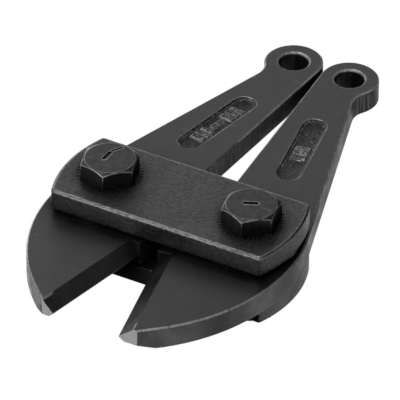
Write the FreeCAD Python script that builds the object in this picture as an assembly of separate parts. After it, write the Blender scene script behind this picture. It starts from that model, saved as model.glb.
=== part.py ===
"""Cutter head of an 18-inch pair of bolt cutters, drawn fully open, in millimetres.

Two forged jaws turn on shoulder bolts between two side plates.  +X runs across
the plates, +Y from the blade tips to the handle eyes and +Z up through the bolt
heads.  The origin is the middle of the head's footprint, at the nuts' undersides.
"""
import FreeCAD, Part
import os
from math import atan2, cos, degrees, radians, sin, sqrt, tan

V = FreeCAD.Vector
Z_AXIS = V(0, 0, 1)

# ---- driving dimensions -------------------------------------------------------
PIVOT_SPACING = 43.2        # between the two bolt centres
OPEN_ANGLE = 12.0           # each jaw's swing from closed to fully open, degrees
MEET_X = -1.3               # where the cutting edges meet, from the middle
CLOSED_GAP = 0.2            # left between the cutting edges at the end of travel

JAW_T = 6.7                 # forged thickness of blade and tail
BLADE_TIP_Y = 48.8          # from the pivots' line forward to the ground tips
EDGE_REAR_Y = 10.9          # closed edges' rear ends, in front of the pivots' line
LEFT_BEVEL_W = 3.2          # ground bevel, measured square to the edge
RIGHT_BEVEL_W = 4.4
EDGE_LAND = 0.25            # height of the blunt strip along the cutting edge
EDGE_Z = -0.35              # cutting edges lie a little below mid thickness
LEFT_FACET_W = 3.2          # ground facet at the tip, from edge to rim
RIGHT_FACET_W = 5.5
NOSE_LENGTH = 5.1           # straight stretch of rim behind the tip, along the tool
TIP_RELIEF_H = 1.9          # how much the underside rises at the ground tip
TIP_RELIEF_L = 3.9          # how far behind the tip that rise starts
SHOULDER_Y = 8.0            # where the shoulder behind the edge joins the knuckle
RIM_X = 36.2                # greatest half width, at the blades' outer rims
RIM_R = 52.2                # radius of the outer rim

EYE_X = 8.75                # handle eye centre, with the head open
EYE_Y = 80.5
EYE_R = 8.2
EYE_HOLE_R = 4.2
EYE_CHAMFER = 0.5
NECK_R = 6.0                # concave neck in front of the eye
SIDE_LEAN = 17.3            # outer side of the tail, degrees off the long axis
SIDE_REACH = 35.2           # outer side's distance from the middle point
INNER_LEAN = 4.2            # inner side of the tail, degrees off the long axis
JAW_EDGE_BREAK = 0.35

HUB_R = 13.0                # raised round boss that the plates bear on
HUB_SIDE_PLAY = 0.1         # between each boss face and its plate
KNUCKLE_GAP = 0.3           # between the two rolling knuckles
TOOTH_R = 2.6               # nose on the left knuckle
TOOTH_PLAY = 0.5            # how much larger the notch on the right knuckle is

PANEL_L = 30.0              # sunk panel in the top of each tail
PANEL_W = 7.0
PANEL_DEPTH = 0.9
PANEL_DRAFT = 0.7           # how far each panel wall leans in
PANEL_Y = 44.3              # panel centre, from the pivots' line
MARK_H = 0.5                # raised forging marks on the panel floor
MARK_L = 3.6
MARK_W = 0.9
LEFT_MARK_OFFSETS = (-8.4, -6.3, -4.2, 4.2, 6.3, 8.4)
LEFT_BAR_L = 4.2            # long mark between the two groups on the left
RIGHT_MARK_OFFSETS = (-3.3, -1.1, 1.1)

PLATE_X = 34.7              # half length over the curved ends
PLATE_CORNER_X = 31.8       # half length at the corners
PLATE_W = 28.2
PLATE_T = 5.9
PLATE_GAP = 1.6             # between a plate and the face of a blade
PLATE_CORNER_R = 1.2
PLATE_EDGE_BREAK = 0.5

SERRATION_COUNT = 40        # radial teeth rolled into the top plate round each head
SERRATION_R = 9.1
SERRATION_DEPTH = 0.25
SERRATION_W = 0.8
SERRATION_LIFT = 0.2        # share of its depth by which the V tool starts above

HEX_AF = 14.3               # across flats of heads and nuts
HEAD_H = 5.25
NUT_H = 6.7
HEX_CHAMFER_DEG = 30.0
HEX_FACE_SHARE = 0.96       # face circle of a hex, as a share of its flats
LEFT_HEX_TURN = 45.7        # where a corner points, degrees from +X
RIGHT_HEX_TURN = 39.1
DASH_DEPTH = 0.4            # index marks cut in the heads
LEFT_DASHES = (             # centre X and Y, length, width, angle
    (-1.2, 0.5, 4.2, 1.2, 90.0),
    (-0.3, 4.4, 3.6, 0.7, 57.0),
)
RIGHT_DASHES = ((-0.4, 0.2, 4.4, 1.3, 24.0),)

JOURNAL_R = 6.0             # plain journal of the shoulder bolt
JOURNAL_PLAY = 0.05
THREAD_R = 4.75             # reduced end that carries the nut
THREAD_PLAY = 0.05
BOLT_END_INSET = 0.4        # bolt end inside the nut's underside

# ---- derived places -----------------------------------------------------------
PIVOT_X = PIVOT_SPACING / 2
HALF_T = JAW_T / 2
PLATE_IN_Z = HALF_T + PLATE_GAP
PLATE_OUT_Z = PLATE_IN_Z + PLATE_T
HUB_Z = PLATE_IN_Z - HUB_SIDE_PLAY
HEAD_TOP_Z = PLATE_OUT_Z + HEAD_H
NUT_BOTTOM_Z = -PLATE_OUT_Z - NUT_H
PIVOT = V(PIVOT_X, 0, 0)
EYE = V(EYE_X, EYE_Y, 0)
BIG = 4 * JAW_T             # reach of a cutting tool past what it cuts
CUT_REACH = 200.0           # longer than any edge it is used on
OVERRUN = 1.0               # how far a fitted tool passes what it cuts
SAME = 1e-6                 # lengths closer than this are taken as equal


# ---- small helpers ------------------------------------------------------------
def polar(centre, radius, angle):
    """Point at an angle in degrees on a circle round centre."""
    return centre + V(radius * cos(radians(angle)), radius * sin(radians(angle)), 0)


def cylinder(x, y, radius, z0, z1):
    return Part.makeCylinder(radius, z1 - z0, V(x, y, z0), Z_AXIS)


def prism(edges, z0, z1):
    """Solid standing on a closed outline drawn at height zero."""
    face = Part.Face(Part.Wire(edges))
    face.translate(V(0, 0, z0))
    return face.extrude(V(0, 0, z1 - z0))


def line(a, b):
    return Part.LineSegment(a, b).toShape()


def arc(centre, radius, start, end):
    """Arc between two angles in degrees, through the angle half way."""
    middle = polar(centre, radius, (start + end) / 2)
    return Part.Arc(polar(centre, radius, start), middle, polar(centre, radius, end)).toShape()


def angle_at(centre, point):
    return degrees(atan2(point.y - centre.y, point.x - centre.x))


def mirrored(shape):
    return shape.mirror(V(0, 0, 0), V(1, 0, 0))


def break_edges(solid, size, wanted):
    """Chamfer the edges for which wanted(edge) is true."""
    edges = [edge for edge in solid.Edges if wanted(edge)]
    return solid.makeChamfer(size, edges)


# ---- jaws ---------------------------------------------------------------------
def edge_line_x(reach, y):
    """X of the opened cutting edge at a given Y, for an edge that passes at
    the distance reach from its pivot."""
    lean = radians(OPEN_ANGLE)
    return PIVOT_X - reach / cos(lean) - y * tan(lean)


def opened(point):
    """Where a point of the closed right jaw lies once the jaw is open."""
    return PIVOT + FreeCAD.Rotation(Z_AXIS, OPEN_ANGLE).multVec(point - PIVOT)


def jaw_outline(reach, facet_w):
    """Closed outline of the right-hand jaw, drawn opened."""
    lean = radians(SIDE_LEAN)
    side_normal = V(cos(lean), sin(lean), 0)
    side_dir = V(-sin(lean), cos(lean), 0)

    tip = V(edge_line_x(reach, -BLADE_TIP_Y), -BLADE_TIP_Y, 0)
    edge_rear = opened(V(PIVOT_X - reach, -EDGE_REAR_Y, 0))

    rim_x = RIM_X - RIM_R
    rim_y = (SIDE_REACH - RIM_R - rim_x * side_normal.x) / side_normal.y
    rim = V(rim_x, rim_y, 0)
    facet_corner = tip + V(facet_w, 0, 0)
    nose_y = NOSE_LENGTH - BLADE_TIP_Y
    nose_start = V(rim_x + sqrt(RIM_R ** 2 - (nose_y - rim_y) ** 2), nose_y, 0)

    along = side_dir.dot(EYE)
    neck_off = SIDE_REACH + NECK_R - side_normal.dot(EYE)
    neck_along = along - sqrt((EYE_R + NECK_R) ** 2 - neck_off ** 2)
    neck = side_normal * (SIDE_REACH + NECK_R) + side_dir * neck_along
    side_top = neck - side_normal * NECK_R
    side_bottom = rim + side_normal * RIM_R
    neck_eye = angle_at(neck, EYE)

    wall_turn = 180 + INNER_LEAN
    wall_top = polar(EYE, EYE_R, wall_turn)
    knuckle_r = PIVOT_X - KNUCKLE_GAP / 2
    wall_normal = V(-cos(radians(INNER_LEAN)), -sin(radians(INNER_LEAN)), 0)
    wall_dir = V(wall_normal.y, -wall_normal.x, 0)
    wall_off = wall_normal.dot(wall_top - PIVOT)
    wall_bottom = PIVOT + wall_normal * wall_off + wall_dir * sqrt(knuckle_r ** 2 - wall_off ** 2)
    shoulder = V(PIVOT_X - sqrt(knuckle_r ** 2 - SHOULDER_Y ** 2), -SHOULDER_Y, 0)

    return [
        line(tip, facet_corner),
        line(facet_corner, nose_start),
        arc(rim, RIM_R, angle_at(rim, nose_start), SIDE_LEAN),
        line(side_bottom, side_top),
        arc(neck, NECK_R, 180 + SIDE_LEAN, neck_eye),
        arc(EYE, EYE_R, neck_eye - 180, wall_turn),
        line(wall_top, wall_bottom),
        arc(PIVOT, knuckle_r, angle_at(PIVOT, wall_bottom), angle_at(PIVOT, shoulder) + 360),
        line(shoulder, edge_rear),
        line(edge_rear, tip),
    ]


def bevel_cutter(reach, width, side):
    """Tool that grinds one bevel, on the top (side 1) or bottom (side -1)."""
    edge_x = PIVOT_X - reach
    foot = EDGE_LAND / 2 + side * EDGE_Z
    rise = (HALF_T - foot) / width
    low = foot - BIG * rise
    high = foot + BIG * rise
    corners = [
        V(edge_x - BIG, -EDGE_REAR_Y, side * low),
        V(edge_x + BIG, -EDGE_REAR_Y, side * high),
        V(edge_x - BIG, -EDGE_REAR_Y, side * high),
    ]
    face = Part.Face(Part.makePolygon(corners + corners[:1]))
    tool = face.extrude(V(0, -CUT_REACH, 0))
    tool.rotate(PIVOT, Z_AXIS, OPEN_ANGLE)
    return tool


def tail_axis_point(y):
    """Middle of the tail at a given Y, and the tail axis's lean in degrees."""
    outer_x = (SIDE_REACH - y * sin(radians(SIDE_LEAN))) / cos(radians(SIDE_LEAN))
    wall_top = polar(EYE, EYE_R, 180 + INNER_LEAN)
    inner_x = wall_top.x + (wall_top.y - y) * tan(radians(INNER_LEAN))
    return V((outer_x + inner_x) / 2, y, 0), (SIDE_LEAN + INNER_LEAN) / 2


def panel_cutter():
    """Round-ended tool with leaning walls, lying along +Y at the origin."""
    top_r = PANEL_W / 2
    floor_r = top_r - PANEL_DRAFT
    half = PANEL_L / 2 - top_r
    floor = V(0, 0, HALF_T - PANEL_DEPTH)
    ends = [Part.makeCone(floor_r, top_r, PANEL_DEPTH, floor + V(0, s * half, 0), Z_AXIS) for s in (-1, 1)]
    section = [
        V(-floor_r, -half, floor.z),
        V(floor_r, -half, floor.z),
        V(top_r, -half, HALF_T),
        V(-top_r, -half, HALF_T),
    ]
    middle = Part.Face(Part.makePolygon(section + section[:1])).extrude(V(0, 2 * half, 0))
    return middle.fuse(ends)


def mark(offset, across, along):
    """One raised block on the panel floor, centred at an offset along it."""
    floor_z = HALF_T - PANEL_DEPTH
    corner = V(-across / 2, offset - along / 2, floor_z - MARK_H)
    return Part.makeBox(across, along, 2 * MARK_H, corner)


def place_on_tail(shape):
    """Move a shape drawn along +Y at the origin onto the tail's axis."""
    centre, lean = tail_axis_point(PANEL_Y)
    shape.rotate(V(0, 0, 0), Z_AXIS, lean)
    shape.translate(centre)
    return shape


def tip_relief_cutter():
    """Tool that slopes the underside up towards the ground tip."""
    slope = TIP_RELIEF_H / TIP_RELIEF_L
    start_y = TIP_RELIEF_L - BLADE_TIP_Y
    corners = [
        V(-CUT_REACH / 2, start_y + OVERRUN, -HALF_T - slope * OVERRUN),
        V(-CUT_REACH / 2, start_y - BIG, -HALF_T + slope * BIG),
        V(-CUT_REACH / 2, start_y - BIG, -HALF_T - slope * OVERRUN),
    ]
    return Part.Face(Part.makePolygon(corners + corners[:1])).extrude(V(CUT_REACH, 0, 0))


def is_outline_edge(edge):
    """True for an edge of the flat blank's top or bottom face that may be
    broken: all but the tip, the cutting edge and the shoulder behind it."""
    box = edge.BoundBox
    flat = box.ZLength < SAME
    at_tip = box.YMax < SAME - BLADE_TIP_Y
    behind_plates = box.YMin > SHOULDER_Y
    outer_side = box.XMin > EYE_X
    return flat and not at_tip and (behind_plates or outer_side)


def jaw(reach, facet_w, bevel_w, marks):
    """Right-hand jaw without its knuckle detail."""
    blank = prism(jaw_outline(reach, facet_w), -HALF_T, HALF_T)
    blank = break_edges(blank, JAW_EDGE_BREAK, is_outline_edge)
    hub = cylinder(PIVOT_X, 0, HUB_R, -HUB_Z, HUB_Z)
    body = blank.fuse(hub)
    cutters = [bevel_cutter(reach, bevel_w, 1), bevel_cutter(reach, bevel_w, -1), tip_relief_cutter()]
    cutters.append(cylinder(PIVOT_X, 0, JOURNAL_R + JOURNAL_PLAY, -BIG, BIG))
    cutters.append(cylinder(EYE_X, EYE_Y, EYE_HOLE_R, -BIG, BIG))
    mouth_r = EYE_HOLE_R + EYE_CHAMFER
    top_mouth = EYE + V(0, 0, HALF_T - EYE_CHAMFER)
    bottom_mouth = EYE - V(0, 0, HALF_T)
    cutters.append(Part.makeCone(EYE_HOLE_R, mouth_r, EYE_CHAMFER, top_mouth, Z_AXIS))
    cutters.append(Part.makeCone(mouth_r, EYE_HOLE_R, EYE_CHAMFER, bottom_mouth, Z_AXIS))
    cutters.append(place_on_tail(panel_cutter()))
    body = body.cut(cutters)
    return body.fuse([place_on_tail(m) for m in marks])


def knuckle_centre():
    """Centre of the nose or notch on the right jaw's pitch circle when open."""
    return polar(PIVOT, PIVOT_X, 180 + OPEN_ANGLE / 2)


def left_jaw():
    """Jaw whose knuckle carries the nose."""
    marks = [mark(offset, MARK_L, MARK_W) for offset in LEFT_MARK_OFFSETS]
    marks.append(mark(0, MARK_W, LEFT_BAR_L))
    body = jaw(PIVOT_X + MEET_X - CLOSED_GAP / 2, LEFT_FACET_W, LEFT_BEVEL_W, marks)
    centre = knuckle_centre()
    nose = cylinder(centre.x, centre.y, TOOTH_R, -HALF_T, HALF_T)
    return mirrored(body.fuse(nose).removeSplitter())


def right_jaw():
    """Jaw whose knuckle carries the notch."""
    marks = [mark(offset, MARK_L, MARK_W) for offset in RIGHT_MARK_OFFSETS]
    body = jaw(PIVOT_X - MEET_X - CLOSED_GAP / 2, RIGHT_FACET_W, RIGHT_BEVEL_W, marks)
    centre = knuckle_centre()
    notch = cylinder(centre.x, centre.y, TOOTH_R + TOOTH_PLAY, -BIG, BIG)
    return body.cut(notch).removeSplitter()


# ---- side plates --------------------------------------------------------------
def plate_outline():
    """Straight front and back, curved ends."""
    half_w = PLATE_W / 2
    bulge = PLATE_X - PLATE_CORNER_X
    edges = []
    for s in (-1, 1):
        near = V(s * PLATE_CORNER_X, s * half_w, 0)
        middle = V(s * (PLATE_CORNER_X + bulge), 0, 0)
        far = V(s * PLATE_CORNER_X, -s * half_w, 0)
        edges.append(Part.Arc(near, middle, far).toShape())
        edges.append(line(far, V(-s * PLATE_CORNER_X, -s * half_w, 0)))
    return edges


def plate(hole_r, z0, z1, outer_z):
    """One side plate with its two bolt holes and its outer edges broken."""
    body = prism(plate_outline(), z0, z1)
    corners = [edge for edge in body.Edges if edge.BoundBox.ZLength > PLATE_T / 2]
    body = body.makeFillet(PLATE_CORNER_R, corners)
    body = break_edges(body, PLATE_EDGE_BREAK, lambda edge: on_level(edge, outer_z))
    holes = [cylinder(s * PIVOT_X, 0, hole_r, z0 - BIG, z1 + BIG) for s in (-1, 1)]
    return body.cut(holes)


def on_level(edge, z):
    """True for an edge that lies flat at height z."""
    box = edge.BoundBox
    return abs(box.ZMin - z) < SAME and abs(box.ZMax - z) < SAME


def serration_cutters(x):
    """V-grooves radiating from a bolt centre at x."""
    grooves = []
    half = SERRATION_W / 2 * (1 + SERRATION_LIFT)
    top = PLATE_OUT_Z + SERRATION_DEPTH * SERRATION_LIFT
    for i in range(SERRATION_COUNT):
        corners = [
            V(0, -half, top),
            V(0, half, top),
            V(0, 0, PLATE_OUT_Z - SERRATION_DEPTH),
        ]
        groove = Part.Face(Part.makePolygon(corners + corners[:1]))
        groove = groove.extrude(V(SERRATION_R, 0, 0))
        groove = groove.cut(cylinder(0, 0, HEX_AF / 2, 0, 2 * PLATE_OUT_Z))
        groove.rotate(V(0, 0, 0), Z_AXIS, i * 360 / SERRATION_COUNT)
        groove.translate(V(x, 0, 0))
        grooves.append(groove)
    return grooves


def top_plate():
    body = plate(JOURNAL_R + JOURNAL_PLAY, PLATE_IN_Z, PLATE_OUT_Z, PLATE_OUT_Z)
    return body.cut(serration_cutters(-PIVOT_X) + serration_cutters(PIVOT_X))


def bottom_plate():
    return plate(THREAD_R + THREAD_PLAY, -PLATE_OUT_Z, -PLATE_IN_Z, -PLATE_OUT_Z)


# ---- bolts and nuts -----------------------------------------------------------
def hex_block(turn, z0, z1, chamfer_bottom, chamfer_top):
    """Hexagonal block with its corners turned off at one or both faces."""
    corner_r = HEX_AF / sqrt(3)
    corners = [polar(V(0, 0, z0), corner_r, turn + 60 * i) for i in range(7)]
    block = Part.Face(Part.makePolygon(corners)).extrude(V(0, 0, z1 - z0))
    face_r = HEX_AF / 2 * HEX_FACE_SHARE
    reach = corner_r - face_r + OVERRUN
    drop = reach * tan(radians(HEX_CHAMFER_DEG))
    if chamfer_top:
        cone = Part.makeCone(face_r + reach, face_r, drop, V(0, 0, z1 - drop), Z_AXIS)
        block = block.common(cone.fuse(cylinder(0, 0, face_r + reach, z0 - OVERRUN, z1 - drop)))
    if chamfer_bottom:
        cone = Part.makeCone(face_r, face_r + reach, drop, V(0, 0, z0), Z_AXIS)
        block = block.common(cone.fuse(cylinder(0, 0, face_r + reach, z0 + drop, z1 + OVERRUN)))
    return block


def index_dash(dash):
    """Tool for the round-ended mark in a bolt head."""
    x, y, length, width, angle = dash
    half = length / 2 - width / 2
    z0 = HEAD_TOP_Z - DASH_DEPTH
    bar = Part.makeBox(2 * half, width, 2 * DASH_DEPTH, V(-half, -width / 2, z0))
    ends = [cylinder(s * half, 0, width / 2, z0, z0 + 2 * DASH_DEPTH) for s in (-1, 1)]
    tool = bar.fuse(ends)
    tool.rotate(V(0, 0, 0), Z_AXIS, angle)
    tool.translate(V(x, y, 0))
    return tool


def bolt(x, turn, dashes):
    """Shoulder bolt: hex head, plain journal, and a reduced end for the nut."""
    head = hex_block(turn, PLATE_OUT_Z, HEAD_TOP_Z, False, True)
    head = head.cut([index_dash(dash) for dash in dashes])
    journal = cylinder(0, 0, JOURNAL_R, -PLATE_IN_Z, PLATE_OUT_Z)
    end = cylinder(0, 0, THREAD_R, NUT_BOTTOM_Z + BOLT_END_INSET, -PLATE_IN_Z)
    body = head.fuse([journal, end]).removeSplitter()
    body.translate(V(x, 0, 0))
    return body


def nut(x, turn):
    body = hex_block(turn, NUT_BOTTOM_Z, -PLATE_OUT_Z, True, True)
    body = body.cut(cylinder(0, 0, THREAD_R, NUT_BOTTOM_Z - OVERRUN, -PLATE_OUT_Z + OVERRUN))
    body.translate(V(x, 0, 0))
    return body


# ---- assembly -----------------------------------------------------------------
def build():
    return {
        "left_jaw": left_jaw(),
        "right_jaw": right_jaw(),
        "top_plate": top_plate(),
        "bottom_plate": bottom_plate(),
        "left_pivot_bolt": bolt(-PIVOT_X, LEFT_HEX_TURN, LEFT_DASHES),
        "right_pivot_bolt": bolt(PIVOT_X, RIGHT_HEX_TURN, RIGHT_DASHES),
        "left_nut": nut(-PIVOT_X, LEFT_HEX_TURN),
        "right_nut": nut(PIVOT_X, RIGHT_HEX_TURN),
    }


def main():
    shift = V(0, (BLADE_TIP_Y - EYE_Y - EYE_R) / 2, -NUT_BOTTOM_Z)
    os.makedirs("parts", exist_ok=True)
    for name, shape in build().items():
        shape.translate(shift)
        shape.exportStep("parts/" + name + ".step")
        print(name, "valid", shape.isValid(), "solids", len(shape.Solids), "volume", round(shape.Volume, 1))


main()
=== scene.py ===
"""Looks for the bolt cutter head: black oxide forged jaws between side plates.

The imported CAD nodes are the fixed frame, in metres.  Each sub-assembly is a
class that dresses its nodes and adds the detail that its finish needs, and the
studio class sets up the floor, the soft lights and the camera.
"""

import logging
import math
from dataclasses import dataclass, replace
from enum import Enum
from typing import Any, Sequence

import bmesh
import bpy
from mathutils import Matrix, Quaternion, Vector, noise


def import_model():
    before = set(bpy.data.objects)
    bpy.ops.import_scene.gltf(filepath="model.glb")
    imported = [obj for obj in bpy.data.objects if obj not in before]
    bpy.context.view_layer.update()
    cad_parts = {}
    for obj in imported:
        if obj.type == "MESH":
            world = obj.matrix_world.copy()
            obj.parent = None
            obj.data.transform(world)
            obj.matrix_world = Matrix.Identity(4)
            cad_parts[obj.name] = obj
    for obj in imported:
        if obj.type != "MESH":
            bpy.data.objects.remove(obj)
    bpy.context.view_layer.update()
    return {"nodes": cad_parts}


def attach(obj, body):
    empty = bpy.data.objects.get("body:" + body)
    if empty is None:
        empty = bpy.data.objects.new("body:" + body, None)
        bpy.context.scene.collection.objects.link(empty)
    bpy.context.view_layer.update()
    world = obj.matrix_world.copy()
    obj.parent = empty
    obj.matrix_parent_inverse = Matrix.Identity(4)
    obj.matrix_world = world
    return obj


LOG = logging.getLogger("bolt_cutter_head")
MM = 0.001
WHITE = (1.0, 1.0, 1.0, 1.0)
BLUE_TINT = 1.02

Pair = tuple[float, float]
Triple = tuple[float, float, float]


class Axis(Enum):
    """Axes of the frame: X across the plates, Y towards the eyes, Z up."""

    X = "X"
    Y = "Y"
    Z = "Z"


class Side(Enum):
    """Sides of the head, as the sign of X."""

    LEFT = -1
    RIGHT = 1


class NodeBoard:
    """Small helper that lays out shader nodes in one material."""

    def __init__(self, name: str) -> None:
        """Make an empty material with that name.

        Args:
            name: Name of the new material.
        """
        self.material: bpy.types.Material = bpy.data.materials.new(name)
        self.material.use_nodes = True
        self.tree: bpy.types.NodeTree = self.material.node_tree
        self.tree.nodes.clear()

    def add(self, kind: str, inputs: dict[Any, Any] | None = None, **settings: Any) -> bpy.types.Node:
        """Add one node, set its options and feed its inputs.

        Args:
            kind: Blender's node type without the ShaderNode prefix.
            inputs: Input name or number to a socket or a plain value.
            settings: Attributes of the node itself.

        Returns:
            The new node.
        """
        node = self.tree.nodes.new("ShaderNode" + kind)
        for key, value in settings.items():
            setattr(node, key, value)
        for key, value in (inputs or {}).items():
            self.feed(node.inputs[key], value)
        return node

    def feed(self, socket: bpy.types.NodeSocket, value: Any) -> None:
        """Link a socket to an input, or set the input's plain value.

        Args:
            socket: The input.
            value: A socket to link from, or a value.
        """
        if isinstance(value, bpy.types.NodeSocket):
            self.tree.links.new(value, socket)
        else:
            socket.default_value = value

    def place(self) -> bpy.types.NodeSocket:
        """Place on the object, in the frame's metres."""
        return self.add("TexCoord").outputs["Object"]

    def facing(self, axis: Axis) -> bpy.types.NodeSocket:
        """One component of the direction that the surface faces."""
        return self.part(self.add("TexCoord").outputs["Normal"], axis)

    def part(self, vector: Any, axis: Axis) -> bpy.types.NodeSocket:
        """One component of a vector."""
        return self.add("SeparateXYZ", {0: vector}).outputs[axis.value]

    def math(self, operation: str, a: Any, b: Any = 0.0, clamp: bool = False) -> bpy.types.NodeSocket:
        """Math node's result.

        Args:
            operation: Name of the operation.
            a: First value or socket.
            b: Second value or socket.
            clamp: Keep the result between 0 and 1.

        Returns:
            The output socket.
        """
        return self.add("Math", {0: a, 1: b}, operation=operation, use_clamp=clamp).outputs[0]

    def product(self, *factors: Any) -> bpy.types.NodeSocket:
        """Product of two or more values.

        Args:
            factors: Values or sockets.

        Returns:
            The output socket.
        """
        result = factors[0]
        for factor in factors[1:]:
            result = self.math("MULTIPLY", result, factor)
        return result

    def most(self, *values: Any) -> bpy.types.NodeSocket:
        """Largest of two or more values.

        Args:
            values: Values or sockets.

        Returns:
            The output socket.
        """
        result = values[0]
        for value in values[1:]:
            result = self.math("MAXIMUM", result, value)
        return result

    def ramp(self, value: Any, low: float, high: float, out_low: float = 0.0, out_high: float = 1.0) -> Any:
        """Value mapped smoothly from one range to another and clamped.

        Args:
            value: Socket to map.
            low: Start of the input range.
            high: End of the input range.
            out_low: Result at the start.
            out_high: Result at the end.

        Returns:
            The output socket.
        """
        node = self.add(
            "MapRange",
            {"Value": value, "From Min": low, "From Max": high, "To Min": out_low, "To Max": out_high},
            interpolation_type="SMOOTHSTEP",
        )
        return node.outputs["Result"]

    def blend(self, share: Any, a: Any, b: Any) -> bpy.types.NodeSocket:
        """Colour between two colours.

        Args:
            share: How much of the second colour, 0 to 1.
            a: First colour or socket.
            b: Second colour or socket.

        Returns:
            The output socket.
        """
        node = self.add("Mix", data_type="RGBA")
        self.feed(node.inputs[0], share)
        self.feed(node.inputs[6], a)
        self.feed(node.inputs[7], b)
        return node.outputs[2]

    def off_line(self, x: float, y: float) -> bpy.types.NodeSocket:
        """Distance from the nearer of two upright lines, one on each side of the middle.

        Args:
            x: How far out from the middle the lines stand.
            y: Where they stand along the head.

        Returns:
            The output socket.
        """
        coords = self.place()
        across = self.math("SUBTRACT", self.math("ABSOLUTE", self.part(coords, Axis.X)), x)
        along = self.math("SUBTRACT", self.part(coords, Axis.Y), y)
        flat = self.add("CombineXYZ", {"X": across, "Y": along}).outputs[0]
        return self.add("VectorMath", {0: flat}, operation="LENGTH").outputs["Value"]

    def off_height(self, z: float) -> bpy.types.NodeSocket:
        """Distance above or below a height."""
        return self.math("ABSOLUTE", self.math("SUBTRACT", self.part(self.place(), Axis.Z), z))

    def output(self, shader: bpy.types.NodeSocket) -> bpy.types.Material:
        """Link a shader to the material's output.

        Args:
            shader: The surface shader.

        Returns:
            The finished material.
        """
        self.add("OutputMaterial", {"Surface": shader})
        return self.material


def grey(value: float) -> tuple[float, float, float, float]:
    """Grey of that brightness, very slightly blue."""
    return (value, value, value * BLUE_TINT, 1.0)


def smooth(share: float) -> float:
    """Smooth step of a value that is kept between 0 and 1."""
    share = min(max(share, 0.0), 1.0)
    return share * share * (3.0 - 2.0 * share)


def extent(piece: bpy.types.Object) -> tuple[Vector, Vector]:
    """Lowest and highest corner of a piece, in its own coordinates."""
    corners = [Vector(corner) for corner in piece.bound_box]
    return Vector(tuple(map(min, *corners))), Vector(tuple(map(max, *corners)))


@dataclass(frozen=True)
class Datum:
    """Places measured on the CAD nodes, which everything else is laid out from."""

    pivot_x: float
    pivot_y: float
    middle_z: float
    tip_y: float

    @classmethod
    def measure(cls, nodes: dict[str, bpy.types.Object]) -> "Datum":
        """Measure the bolts' axes, the jaws' mid height and the blade tips.

        Args:
            nodes: CAD nodes by name.

        Returns:
            The places.
        """
        bolt_low, bolt_high = extent(nodes["right_pivot_bolt"])
        jaw_low, jaw_high = extent(nodes["right_jaw"])
        bolt, jaw = (bolt_low + bolt_high) / 2, (jaw_low + jaw_high) / 2
        return cls(bolt.x, bolt.y, jaw.z, jaw_low.y)


@dataclass(frozen=True)
class Texture:
    """One layer of noise in a finish."""

    scale: float
    octaves: float
    roughness: float
    draw_number: float
    stretch: Triple = (1.0, 1.0, 1.0)

    def draw(self, board: NodeBoard, seed: float) -> bpy.types.NodeSocket:
        """Noise between 0 and 1 over the object.

        Args:
            board: The material's nodes.
            seed: The finish's own number.

        Returns:
            The noise's socket.
        """
        coords = board.add("VectorMath", {0: board.place(), 1: self.stretch}, operation="MULTIPLY")
        inputs = {
            "Vector": coords.outputs["Vector"],
            "W": seed + self.draw_number,
            "Scale": self.scale,
            "Detail": self.octaves,
            "Roughness": self.roughness,
        }
        return board.add("TexNoise", inputs, noise_dimensions="4D").outputs[0]


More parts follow.
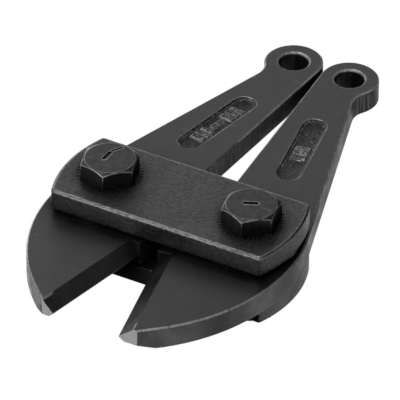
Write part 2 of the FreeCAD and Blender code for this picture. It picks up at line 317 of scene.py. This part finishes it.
@dataclass(frozen=True)
class OxideSteel:
    """Black oxide on steel, rubbed bright along its edges."""

    name: str
    datum: Datum
    seed: float = 0.0

    tone: float = 0.008
    tone_spread: float = 0.4
    index: float = 2.3
    roughness: float = 0.4
    roughness_spread: float = 0.08
    sheen: float = 0.5
    fleck: float = 0.25
    grain: Texture = Texture(1300.0, 4.0, 0.6, 0.0)
    grain_height: float = 0.09 * MM
    mottle: Texture = Texture(140.0, 4.0, 0.6, 3.0)
    noise_range: Pair = (0.3, 0.7)
    round_radius: float = 0.35 * MM
    round_samples: int = 4

    bare: float = 0.9
    bare_metal: float = 0.8
    bare_roughness: float = 0.4
    edge_radius: float = 0.5 * MM
    edge_samples: int = 8
    edge_turn: Pair = (0.002, 0.05)
    edge_wear: float = 0.75
    edge_break: float = 2.0
    patches: Texture = Texture(260.0, 3.0, 0.6, 7.0)
    patch_break: float = 1.6
    rub_range: Pair = (0.15, 1.0)
    scuffs: Texture = Texture(1500.0, 2.0, 0.5, 11.0, (0.12, 1.0, 1.0))
    scuff_range: Pair = (0.66, 0.76)
    scuff_share: float = 0.2
    crevice_reach: float = 1.2 * MM
    crevice_samples: int = 4
    crevice_range: Pair = (0.7, 0.95)
    outer_start: float = 0.0
    outer_blend: float = 1.5 * MM
    inner_wear: float = 1.0

    # painted shade: the gloss is dulled where ambient occlusion within this reach finds the surface
    # sheltered
    shade_reach: float = 12.0 * MM
    shade_samples: int = 6
    shade_start: float = 0.25
    shade_end: float = 0.95

    def outward(self, board: NodeBoard) -> bpy.types.NodeSocket:
        """Share of the wear left at a place: all of it beyond outer_start from mid height.

        Args:
            board: The material's nodes.

        Returns:
            The share's socket.
        """
        off_middle = board.off_height(self.datum.middle_z)
        start = self.outer_start - self.outer_blend
        return board.ramp(off_middle, start, self.outer_start, self.inner_wear, 1.0)

    def edge_mask(self, board: NodeBoard) -> bpy.types.NodeSocket:
        """How close the nearest sharp convex edge is, 0 on flats to 1 on an edge.

        Args:
            board: The material's nodes.

        Returns:
            The mask's socket.
        """
        flat = board.add("NewGeometry").outputs["True Normal"]
        rounded = board.add("Bevel", {"Radius": self.edge_radius}, samples=self.edge_samples).outputs[0]
        cosine = board.add("VectorMath", {0: rounded, 1: flat}, operation="DOT_PRODUCT").outputs["Value"]
        turn = board.math("SUBTRACT", 1.0, cosine, clamp=True)
        reach, rays = self.crevice_reach, self.crevice_samples
        crevice = board.add("AmbientOcclusion", {"Distance": reach}, samples=rays).outputs["AO"]
        open_air = board.ramp(crevice, *self.crevice_range)
        return board.product(board.ramp(turn, *self.edge_turn), open_air, self.outward(board))

    def worn(self, board: NodeBoard, grain: Any) -> bpy.types.NodeSocket:
        """Where bare metal shows: grainy and patchy along the edges, with fine scuffs.

        Args:
            board: The material's nodes.
            grain: Fine noise.

        Returns:
            The mask's socket.
        """
        edge = board.product(self.edge_mask(board), self.edge_wear)
        patches = self.patches.draw(board, self.seed)
        ragged = board.product(board.math("SUBTRACT", grain, 0.5), self.edge_break)
        uneven = board.product(board.math("SUBTRACT", patches, 0.5), self.patch_break)
        level = board.math("ADD", edge, board.product(board.math("ADD", ragged, uneven), edge))
        marks = board.ramp(self.scuffs.draw(board, self.seed), *self.scuff_range)
        return board.most(board.ramp(level, *self.rub_range), board.product(marks, self.scuff_share))

    def relief(self, board: NodeBoard, grain: Any) -> bpy.types.NodeSocket:
        """Height of the surface texture, in metres.

        Args:
            board: The material's nodes.
            grain: Fine noise.

        Returns:
            The height's socket.
        """
        return board.product(grain, self.grain_height)

    def painted_shade(self, board: NodeBoard) -> bpy.types.NodeSocket:
        """Painted shade: the gloss is taken away where ambient occlusion finds the surface sheltered, in
        corners, under parts and between them.

        Args:
            board: The material's nodes.

        Returns:
            The mask's socket, 1 where the surface is dullest.
        """
        shelter = board.add("AmbientOcclusion", {"Distance": self.shade_reach}, samples=self.shade_samples)
        return board.ramp(shelter.outputs["AO"], self.shade_end, self.shade_start)

    def metal(self, board: NodeBoard, worn: Any) -> bpy.types.NodeSocket:
        """How metallic the surface is.

        Args:
            board: The material's nodes.
            worn: Where bare metal shows.

        Returns:
            The socket for the metallic share.
        """
        return board.product(worn, self.bare_metal)

    def color(self, board: NodeBoard, mottle: Any, worn: Any) -> bpy.types.NodeSocket:
        """Mottled oxide, with bare metal where it is worn.

        Args:
            board: The material's nodes.
            mottle: Coarse noise.
            worn: Where bare metal shows.

        Returns:
            The colour's socket.
        """
        low = grey(self.tone * (1.0 - self.tone_spread))
        high = grey(self.tone * (1.0 + self.tone_spread))
        oxide = board.blend(board.ramp(mottle, *self.noise_range), low, high)
        return board.blend(worn, oxide, grey(self.bare))

    def polish(self, board: NodeBoard, mottle: Any, worn: Any) -> bpy.types.NodeSocket:
        """Roughness of the oxide and of the bare metal.

        Args:
            board: The material's nodes.
            mottle: Coarse noise.
            worn: Where bare metal shows.

        Returns:
            The roughness's socket.
        """
        low, high = self.roughness - self.roughness_spread, self.roughness + self.roughness_spread
        dull = board.ramp(mottle, *self.noise_range, low, high)
        return board.add("Mix", {0: worn, 2: dull, 3: self.bare_roughness}).outputs[0]

    def shine(self, board: NodeBoard, grain: Any) -> bpy.types.NodeSocket:
        """Strength of the gloss: flecked by the grain and dulled by painted shade in sheltered places.

        Args:
            board: The material's nodes.
            grain: Fine noise.

        Returns:
            The gloss's socket.
        """
        low, high = self.sheen * (1.0 - self.fleck), self.sheen * (1.0 + self.fleck)
        flecks = board.ramp(grain, *self.noise_range, low, high)
        return board.product(flecks, board.math("SUBTRACT", 1.0, self.painted_shade(board)))

    def build(self) -> bpy.types.Material:
        """Build the material.

        Returns:
            The finished material.
        """
        board = NodeBoard(self.name)
        grain = self.grain.draw(board, self.seed)
        mottle = self.mottle.draw(board, self.seed)
        worn = self.worn(board, grain)
        rounded = board.add("Bevel", {"Radius": self.round_radius}, samples=self.round_samples).outputs[0]
        relief = {"Distance": 1.0, "Height": self.relief(board, grain), "Normal": rounded}
        shader = board.add(
            "BsdfPrincipled",
            {
                "Base Color": self.color(board, mottle, worn),
                "Roughness": self.polish(board, mottle, worn),
                "Metallic": self.metal(board, worn),
                "IOR": self.index,
                "Specular IOR Level": self.shine(board, grain),
                "Normal": board.add("Bump", relief).outputs["Normal"],
            },
        )
        return board.output(shader.outputs[0])


@dataclass(frozen=True)
class BoltSteel(OxideSteel):
    """Hot forged bolt steel, rubbed along the head's chamfer, with painted shade darkening its flats."""

    sheen: float = 0.4
    grain: Texture = Texture(700.0, 4.0, 0.6, 0.0)
    edge_wear: float = 0.95
    edge_break: float = 3.0
    outer_start: float = 15.0 * MM
    inner_wear: float = 0.25
    # painted shade, stronger than the default, darkens the heads' flanks
    shade_start: float = 0.45
    shade_end: float = 0.98


@dataclass(frozen=True)
class PlateSteel(OxideSteel):
    """Stamped plate steel, unrubbed and darkened by painted shade round the bolt heads."""

    grain: Texture = Texture(1300.0, 4.0, 0.6, 0.0, (0.6, 1.4, 1.0))
    outer_start: float = 9.5 * MM
    inner_wear: float = 0.15
    seat_radius: float = 9.8 * MM
    seat_blend: float = 1.5 * MM
    # painted shade laid on the rings round the bolt heads
    seat_shade: float = 0.4

    def seat(self, board: NodeBoard) -> bpy.types.NodeSocket:
        """Mask of the rings pressed round both bolts.

        Args:
            board: The material's nodes.

        Returns:
            The mask's socket.
        """
        radius = board.off_line(self.datum.pivot_x, self.datum.pivot_y)
        return board.ramp(radius, self.seat_radius + self.seat_blend, self.seat_radius)

    def worn(self, board: NodeBoard, grain: Any) -> bpy.types.NodeSocket:
        """Edge wear, kept off the pressed rings.

        Args:
            board: The material's nodes.
            grain: Fine noise.

        Returns:
            The mask's socket.
        """
        open_share = board.math("SUBTRACT", 1.0, self.seat(board))
        return board.product(super().worn(board, grain), open_share)

    def painted_shade(self, board: NodeBoard) -> bpy.types.NodeSocket:
        """Painted shade in sheltered places, and more painted shade on the pressed rings round the bolt
        heads.

        Args:
            board: The material's nodes.

        Returns:
            The mask's socket.
        """
        return board.most(super().painted_shade(board), board.product(self.seat(board), self.seat_shade))


@dataclass(frozen=True)
class RubbedPlateSteel(PlateSteel):
    """Plate steel with a coarser grain and a broad rubbed edge."""

    fleck: float = 0.4
    grain_height: float = 0.3 * MM
    round_radius: float = 0.8 * MM
    bare: float = 0.62
    edge_radius: float = 1.35 * MM
    edge_wear: float = 1.0
    edge_break: float = 3.0
    # painted shade, stronger, darkens the plate round and in front of the bolt heads
    shade_start: float = 0.35
    shade_end: float = 1.0


@dataclass(frozen=True)
class JawSteel(OxideSteel):
    """Forged jaw steel with bare ground tips and scored tail walls."""

    fleck: float = 0.08
    grain_height: float = 0.04 * MM
    round_radius: float = 0.25 * MM
    # painted shade reaching further, darkening the blades under the plate's edge
    shade_reach: float = 14.0 * MM
    shade_start: float = 0.4
    shade_end: float = 1.0

    chamfer_near: Pair = (0.6, 0.66)
    chamfer_far: Pair = (0.82, 0.76)
    chamfer_height: float = 2.95 * MM
    facet_depth: float = 0.03 * MM
    rim_across: float = 37.6 * MM
    rim_ahead: float = 5.8 * MM
    rim_range: Pair = (48.2 * MM, 49.7 * MM)
    tail_range: Pair = (7.95 * MM, 15.95 * MM)
    tail_wear: float = 0.2

    wall_range: Pair = (15.95 * MM, 19.95 * MM)
    wall_tilt: Pair = (0.5, 0.2)
    scores: Texture = Texture(800.0, 3.0, 0.7, 5.0, (1.0, 1.0, 0.06))
    score_range: Pair = (0.56, 0.44)
    score_depth: float = 0.4 * MM
    # painted shade in the grooves of the scores
    score_shade: float = 0.75

    panel_behind: float = 24.95 * MM
    panel_floor: float = 2.45 * MM
    panel_below: Pair = (-0.2 * MM, -0.1 * MM)
    panel_above: Pair = (0.75 * MM, 0.6 * MM)
    panel_tilt: float = 0.3
    # painted shade dulling the sunk panel's floor
    panel_shade: float = 0.25
    pits: Texture = Texture(900.0, 3.0, 0.7, 9.0)
    pit_depth: float = 0.9 * MM
    crest_range: Pair = (0.4 * MM, 0.5 * MM)
    crest_share: float = 0.1
    glint_range: Pair = (0.62, 0.72)
    glint_share: float = 0.8

    def behind(self, board: NodeBoard) -> bpy.types.NodeSocket:
        """Distance behind the line through both pivots."""
        return board.math("SUBTRACT", board.part(board.place(), Axis.Y), self.datum.pivot_y)

    def edge_mask(self, board: NodeBoard) -> bpy.types.NodeSocket:
        """Sharp edges, and the narrow chamfers along the top and bottom.

        Args:
            board: The material's nodes.

        Returns:
            The mask's socket.
        """
        tilt = board.math("ABSOLUTE", board.facing(Axis.Z))
        slope = board.product(board.ramp(tilt, *self.chamfer_near), board.ramp(tilt, *self.chamfer_far))
        outer = board.math("GREATER_THAN", board.off_height(self.datum.middle_z), self.chamfer_height)
        return board.most(super().edge_mask(board), board.product(slope, outer))

    def walls(self, board: NodeBoard) -> bpy.types.NodeSocket:
        """Mask of the tail's upright walls.

        Args:
            board: The material's nodes.

        Returns:
            The mask's socket.
        """
        upright = board.ramp(board.math("ABSOLUTE", board.facing(Axis.Z)), *self.wall_tilt)
        return board.product(upright, board.ramp(self.behind(board), *self.wall_range))

    def over_floor(self, board: NodeBoard) -> bpy.types.NodeSocket:
        """Height over the sunk panel's floor."""
        floor = self.datum.middle_z + self.panel_floor
        return board.math("SUBTRACT", board.part(board.place(), Axis.Z), floor)

    def panel(self, board: NodeBoard) -> bpy.types.NodeSocket:
        """Mask of the sunk panel's floor and its marks.

        Args:
            board: The material's nodes.

        Returns:
            The mask's socket.
        """
        height = self.over_floor(board)
        flat = board.math("GREATER_THAN", board.facing(Axis.Z), self.panel_tilt)
        tail = board.math("GREATER_THAN", self.behind(board), self.panel_behind)
        return board.product(
            board.ramp(height, *self.panel_below), board.ramp(height, *self.panel_above), flat, tail
        )

    def facet(self, board: NodeBoard) -> bpy.types.NodeSocket:
        """Mask of the ground facet at the tip."""
        edge = self.datum.tip_y + self.facet_depth
        return board.math("LESS_THAN", board.part(board.place(), Axis.Y), edge)

    def glints(self, board: NodeBoard, grain: Any) -> bpy.types.NodeSocket:
        """Bare specks in the panel, most of them on the crests of its marks.

        Args:
            board: The material's nodes.
            grain: Fine noise.

        Returns:
            The mask's socket.
        """
        crest = board.ramp(self.over_floor(board), *self.crest_range, 0.0, self.crest_share)
        specks = board.ramp(board.math("ADD", grain, crest), *self.glint_range)
        return board.product(specks, self.panel(board), self.glint_share)

    def worn(self, board: NodeBoard, grain: Any) -> bpy.types.NodeSocket:
        """Wear along the rim and the tail, with the tip facets ground bare.

        Args:
            board: The material's nodes.
            grain: Fine noise.

        Returns:
            The mask's socket.
        """
        radius = board.off_line(self.datum.pivot_x - self.rim_across, self.datum.pivot_y - self.rim_ahead)
        rim = board.ramp(radius, *self.rim_range)
        tail = board.ramp(self.behind(board), *self.tail_range, 0.0, self.tail_wear)
        rubbed = board.product(super().worn(board, grain), board.most(rim, tail))
        return board.most(rubbed, self.facet(board), self.glints(board, grain))

    def metal(self, board: NodeBoard, worn: Any) -> bpy.types.NodeSocket:
        """Metallic where rubbed, but matt on the coarsely ground facet.

        Args:
            board: The material's nodes.
            worn: Where bare metal shows.

        Returns:
            The socket for the metallic share.
        """
        return super().metal(board, board.math("SUBTRACT", worn, self.facet(board), clamp=True))

    def relief(self, board: NodeBoard, grain: Any) -> bpy.types.NodeSocket:
        """Grain everywhere, upright scores on the tail walls and pits in the panel.

        Args:
            board: The material's nodes.
            grain: Fine noise.

        Returns:
            The height's socket.
        """
        scores = board.product(self.scores.draw(board, self.seed), self.walls(board), self.score_depth)
        pits = board.product(self.pits.draw(board, self.seed), self.panel(board), self.pit_depth)
        return board.math("ADD", board.math("ADD", super().relief(board, grain), scores), pits)

    def painted_shade(self, board: NodeBoard) -> bpy.types.NodeSocket:
        """Painted shade in sheltered places, and painted shade in the grooves of the scores and on the
        panel's floor.

        Args:
            board: The material's nodes.

        Returns:
            The mask's socket.
        """
        scores = board.ramp(self.scores.draw(board, self.seed), *self.score_range)
        lines = board.product(scores, self.walls(board), self.score_shade)
        return board.most(super().painted_shade(board), lines, board.product(self.panel(board), self.panel_shade))


@dataclass(frozen=True)
class ForgedPanel:
    """Rough floor of a sunk panel, with raised marks worn round by the forge."""

    name: str
    datum: Datum
    side: Side
    mark_offsets: Sequence[float]
    bar_length: float = 0.0
    seed: float = 0.0
    seed_step: float = 10.0
    across: float = -8.47 * MM
    behind: float = 44.3 * MM
    over_middle: float = 2.45 * MM
    lean: float = 10.75
    floor_radius: float = 2.8 * MM
    half_length: float = 11.5 * MM
    overlap: float = 0.3 * MM
    depth: float = 0.2 * MM
    fillet_width: float = 0.9 * MM
    fillet_height: float = 0.28 * MM
    bed: float = 0.07 * MM
    deepest_share: float = 0.6
    lump: float = 0.09 * MM
    lump_scale: float = 700.0
    fine_scale: float = 1900.0
    fine_share: float = 0.7
    crown_share: float = 0.8
    mark_length: float = 3.6 * MM
    mark_width: float = 0.9 * MM
    mark_height: float = 0.56 * MM
    mark_slope: float = 0.35 * MM
    mark_waver: float = 900.0
    rows: int = 150
    columns: int = 33
    end_share: float = 0.999
    slot: str = "jaw_steel"

    def rough(self, u: float, v: float, scale: float) -> float:
        """Smooth noise between -1 and 1 with that many cycles per metre."""
        return noise.noise(Vector((u * scale, v * scale, self.seed * self.seed_step + scale)))

    def box_distance(self, u: float, v: float, half_u: float, half_v: float) -> float:
        """Distance from a point to a box round the origin, 0 inside it."""
        return math.hypot(max(abs(u) - half_u, 0.0), max(abs(v) - half_v, 0.0))

    def mark_distance(self, u: float, v: float) -> float:
        """Distance from a point to the nearest raised mark.

        Args:
            u: Place across the panel.
            v: Place along it.

        Returns:
            The distance, 0 on a mark.
        """
        half_u, half_v = self.mark_length / 2, self.mark_width / 2
        gaps = [self.box_distance(u, v - offset, half_u, half_v) for offset in self.mark_offsets]
        if self.bar_length:
            gaps.append(self.box_distance(u, v, half_v, self.bar_length / 2))
        return min(gaps)

    def past_end(self, v: float) -> float:
        """Distance past the panel's straight stretch."""
        return max(abs(v) - self.half_length, 0.0)

    def height(self, u: float, v: float) -> float:
        """Height of the surface over the panel's floor.

        Args:
            u: Place across the panel.
            v: Place along it.

        Returns:
            The height in metres.
        """
        start = self.floor_radius + self.overlap - self.fillet_width
        rise = smooth((math.hypot(u, self.past_end(v)) - start) / self.fillet_width)
        waver = self.overlap * (0.5 + 0.5 * self.rough(u, v, self.mark_waver))
        ridge = smooth(1.0 - max(self.mark_distance(u, v) - waver, 0.0) / self.mark_slope)
        fine = self.fine_share * self.rough(u, v, self.fine_scale)
        lumps = self.lump * (self.rough(u, v, self.lump_scale) + fine)
        ground = max(lumps * (1.0 - rise), -self.deepest_share * self.bed)
        floor = self.bed + self.fillet_height * rise + ground
        crown = self.mark_height + self.crown_share * lumps
        return floor + (crown - floor) * ridge * (1.0 - rise)

    def place(self, u: float, v: float, height: float) -> Triple:
        """Turn a place on the panel into one on the tail.

        Args:
            u: Place across the panel.
            v: Place along it.
            height: Height over its floor.

        Returns:
            The place in the frame.
        """
        turn = math.radians(self.lean)
        x = self.datum.pivot_x + self.across + u * math.cos(turn) - v * math.sin(turn)
        y = self.datum.pivot_y + self.behind + u * math.sin(turn) + v * math.cos(turn)
        return (self.side.value * x, y, self.datum.middle_z + self.over_middle + height)

    def points(self) -> list[Triple]:
        """Grid of points on the rough top, then the same grid on the flat base.

        Returns:
            The points, row by row.
        """
        reach = self.floor_radius + self.overlap
        end = self.half_length + reach
        top: list[Triple] = []
        base: list[Triple] = []
        for row in range(self.rows):
            v = end * math.sin(math.pi * (row / (self.rows - 1) - 0.5)) * self.end_share
            width = math.sqrt(max(reach ** 2 - self.past_end(v) ** 2, 0.0))
            for column in range(self.columns):
                u = width * (2.0 * column / (self.columns - 1) - 1.0)
                top.append(self.place(u, v, self.height(u, v)))
                base.append(self.place(u, v, -self.depth))
        return top + base

    def faces(self) -> list[tuple[int, ...]]:
        """Quads of the top, the base and the wall between them.

        Returns:
            The corners of each quad, as numbers of points.
        """
        layer = self.rows * self.columns
        quads: list[tuple[int, ...]] = []
        for row in range(self.rows - 1):
            for column in range(self.columns - 1):
                a = row * self.columns + column
                corners = (a, a + 1, a + self.columns + 1, a + self.columns)
                quads.append(corners)
                quads.append(tuple(layer + corner for corner in reversed(corners)))
        starts = [row * self.columns for row in range(self.rows)]
        ring = list(range(self.columns)) + [start + self.columns - 1 for start in starts[1:]]
        ring += [starts[-1] + column for column in range(self.columns - 2, -1, -1)] + starts[-2:0:-1]
        for here, there in zip(ring, ring[1:] + ring[:1]):
            quads.append((there, here, layer + here, layer + there))
        return quads

    def build(self, body: str, finish: bpy.types.Material) -> bpy.types.Object:
        """Make the closed mesh, ride it on its jaw and give it its finish.

        Args:
            body: Body that carries it.
            finish: Its material.

        Returns:
            The new piece.
        """
        mesh = bpy.data.meshes.new(self.name)
        mesh.from_pydata(self.points(), [], self.faces())
        mesh.update()
        shell = bmesh.new()
        shell.from_mesh(mesh)
        bmesh.ops.recalc_face_normals(shell, faces=shell.faces)
        for face in shell.faces:
            face.smooth = True
        shell.to_mesh(mesh)
        shell.free()
        mesh.materials.append(finish)
        piece = bpy.data.objects.new(self.name, mesh)
        bpy.context.scene.collection.objects.link(piece)
        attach(piece, body)
        LOG.info("built %s", self.name)
        return piece


@dataclass
class SubAssembly:
    """Group of CAD nodes that keep their shape and get one finish each."""

    nodes: dict[str, bpy.types.Object]
    datum: Datum

    def finishes(self) -> dict[str, OxideSteel]:
        """Finish of each node."""
        raise NotImplementedError

    def build(self) -> None:
        """Give every node its finish."""
        for node, finish in self.finishes().items():
            material = finish.build()
            for holder in self.nodes[node].material_slots:
                holder.material = material
            LOG.info("dressed %s", node)


@dataclass
class Jaws(SubAssembly):
    """The two forged jaws, with rough floors and worn marks in their sunk panels."""

    left_marks: Sequence[float] = (-8.4 * MM, -6.3 * MM, -4.2 * MM, 4.2 * MM, 6.3 * MM, 8.4 * MM)
    left_bar: float = 4.2 * MM
    right_marks: Sequence[float] = (-3.3 * MM, -1.1 * MM, 1.1 * MM)

    def finishes(self) -> dict[str, OxideSteel]:
        """Finish of each jaw."""
        return {
            "left_jaw": JawSteel("left_jaw_steel", self.datum, seed=1.0),
            "right_jaw": JawSteel("right_jaw_steel", self.datum, seed=2.0),
        }

    def panels(self) -> dict[str, ForgedPanel]:
        """Sunk panel of each jaw; the left one's marks are joined by a bar.

        Returns:
            The panels, by the body that carries them.
        """
        left = ForgedPanel("left_panel_floor", self.datum, Side.LEFT, self.left_marks, seed=1.0)
        right = ForgedPanel("right_panel_floor", self.datum, Side.RIGHT, self.right_marks, seed=2.0)
        return {"left_jaw": replace(left, bar_length=self.left_bar), "right_jaw": right}

    def build(self) -> None:
        """Give both jaws their finish and their panel."""
        super().build()
        for body, panel in self.panels().items():
            panel.build(body, self.nodes[body].material_slots[0].material)


@dataclass
class SidePlates(SubAssembly):
    """The two plates that hold the pivots apart; the top one is rubbed the most."""

    hidden_wear: float = 0.4

    def finishes(self) -> dict[str, OxideSteel]:
        """Finish of each plate.

        Returns:
            The finishes, by node.
        """
        wear = self.hidden_wear
        return {
            "top_plate": RubbedPlateSteel("top_plate_steel", self.datum, seed=3.0),
            "bottom_plate": PlateSteel("bottom_plate_steel", self.datum, seed=4.0, edge_wear=wear),
        }


@dataclass
class PivotBolts(SubAssembly):
    """The two shoulder bolts and their nuts."""

    def finishes(self) -> dict[str, OxideSteel]:
        """Finish of each bolt and nut."""
        return {
            "left_pivot_bolt": BoltSteel("left_bolt_steel", self.datum, seed=5.0),
            "right_pivot_bolt": BoltSteel("right_bolt_steel", self.datum, seed=6.0),
            "left_nut": BoltSteel("left_nut_steel", self.datum, seed=7.0),
            "right_nut": BoltSteel("right_nut_steel", self.datum, seed=8.0),
        }


def direction(azimuth: float, elevation: float) -> Vector:
    """Unit vector from the object; azimuth 0 is in front and 90 on its right."""
    turn, rise = math.radians(azimuth), math.radians(elevation)
    return Vector((math.sin(turn) * math.cos(rise), -math.cos(turn) * math.cos(rise), math.sin(rise)))


@dataclass(frozen=True)
class Softbox:
    """Square area light that faces the object."""

    name: str
    azimuth: float
    elevation: float
    power: float
    size: float = 0.7
    distance: float = 1.2

    def place(self, target: Vector) -> bpy.types.Object:
        """Add the light to the scene.

        Args:
            target: Point it faces.

        Returns:
            The light object.
        """
        data = bpy.data.lights.new(self.name, "AREA")
        data.shape = "SQUARE"
        data.size = self.size
        data.energy = self.power
        light = bpy.data.objects.new(self.name, data)
        bpy.context.scene.collection.objects.link(light)
        back = direction(self.azimuth, self.elevation)
        light.location = target + back * self.distance
        light.rotation_mode = "QUATERNION"
        light.rotation_quaternion = (-back).to_track_quat("-Z", "Y")
        return light


@dataclass(frozen=True)
class Studio:
    """Floor, dome, soft lights and camera."""

    target: Triple = (0.0, -6.75 * MM, 17.55 * MM)
    azimuth: float = 28.8
    elevation: float = 36.0
    roll: float = 0.2
    distance: float = 1.6
    lens: float = 534.0
    sensor: float = 36.0
    shift: Pair = (-0.0105, 0.0105)
    clip: Pair = (0.05, 10.0)
    floor_half: float = 3.5
    dome_radius: float = 4.0
    dome_segments: int = 48
    dome_rings: int = 24
    glow_level: float = 1.0
    world_level: float = 0.004
    lights: Sequence[Softbox] = (
        Softbox("back_key", 210.0, 35.0, 0.5),
        Softbox("back_low", 210.0, 0.0, 1.6),
        Softbox("back_high", 180.0, 65.0, 0.4),
        Softbox("left_back", 240.0, 35.0, 0.6),
        Softbox("left_back_low", 240.0, 0.0, 1.5),
        Softbox("left_high", 300.0, 65.0, 0.4),
        Softbox("front_left", 330.0, 45.0, 3.2),
        Softbox("front_middle", 345.0, 25.0, 3.0),
        Softbox("front_high", 15.0, 55.0, 1.5),
        Softbox("right", 90.0, 35.0, 0.4),
        Softbox("bounce_back", 180.0, -35.0, 1.2),
        Softbox("bounce_left_back", 230.0, -35.0, 2.2),
        Softbox("bounce_right_back", 120.0, -35.0, 1.0),
        Softbox("bounce_right", 60.0, -35.0, 1.0),
    )

    def glow(self, name: str) -> bpy.types.Material:
        """Evenly lit white for the floor and dome.

        Args:
            name: Name of the material.

        Returns:
            The finished material.
        """
        board = NodeBoard(name)
        shader = board.add("Emission", {"Color": WHITE, "Strength": self.glow_level})
        return board.output(shader.outputs[0])

    def surround(self) -> None:
        """White floor and dome, which the object neither reflects nor is lit by."""
        bpy.ops.mesh.primitive_plane_add(size=2 * self.floor_half)
        floor = bpy.context.object
        floor.name = "floor"
        bpy.ops.mesh.primitive_uv_sphere_add(
            segments=self.dome_segments, ring_count=self.dome_rings, radius=self.dome_radius
        )
        dome = bpy.context.object
        dome.name = "dome"
        for piece in (floor, dome):
            piece.data.materials.append(self.glow(piece.name + "_white"))
            piece.visible_diffuse = False
            piece.visible_glossy = False
            piece.visible_shadow = False

    def light(self) -> None:
        """Place the soft lights and the faint even world light."""
        for box in self.lights:
            box.place(Vector(self.target))
        world = bpy.data.worlds.new("studio")
        world.use_nodes = True
        background = world.node_tree.nodes["Background"]
        background.inputs["Color"].default_value = WHITE
        background.inputs["Strength"].default_value = self.world_level
        bpy.context.scene.world = world

    def shoot(self) -> None:
        """Set up the camera and a plain display transform."""
        scene = bpy.context.scene
        data = bpy.data.cameras.new("camera")
        data.lens = self.lens
        data.sensor_width = self.sensor
        data.shift_x, data.shift_y = self.shift
        data.clip_start, data.clip_end = self.clip
        camera = bpy.data.objects.new("camera", data)
        scene.collection.objects.link(camera)
        back = direction(self.azimuth, self.elevation)
        camera.location = Vector(self.target) + back * self.distance
        camera.rotation_mode = "QUATERNION"
        aim = (-back).to_track_quat("-Z", "Y")
        camera.rotation_quaternion = aim @ Quaternion((0.0, 0.0, 1.0), math.radians(self.roll))
        scene.camera = camera
        scene.view_settings.view_transform = "Standard"

    def build(self) -> None:
        """Set up everything round the object."""
        self.surround()
        self.light()
        self.shoot()


def main() -> None:
    """Build the head's looks and its studio."""
    logging.basicConfig(level=logging.INFO, format="%(message)s")
    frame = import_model()
    nodes = frame["nodes"]
    datum = Datum.measure(nodes)
    for part in (Jaws(nodes, datum), SidePlates(nodes, datum), PivotBolts(nodes, datum)):
        part.build()
    Studio().build()


if __name__ == "__main__":
    main()
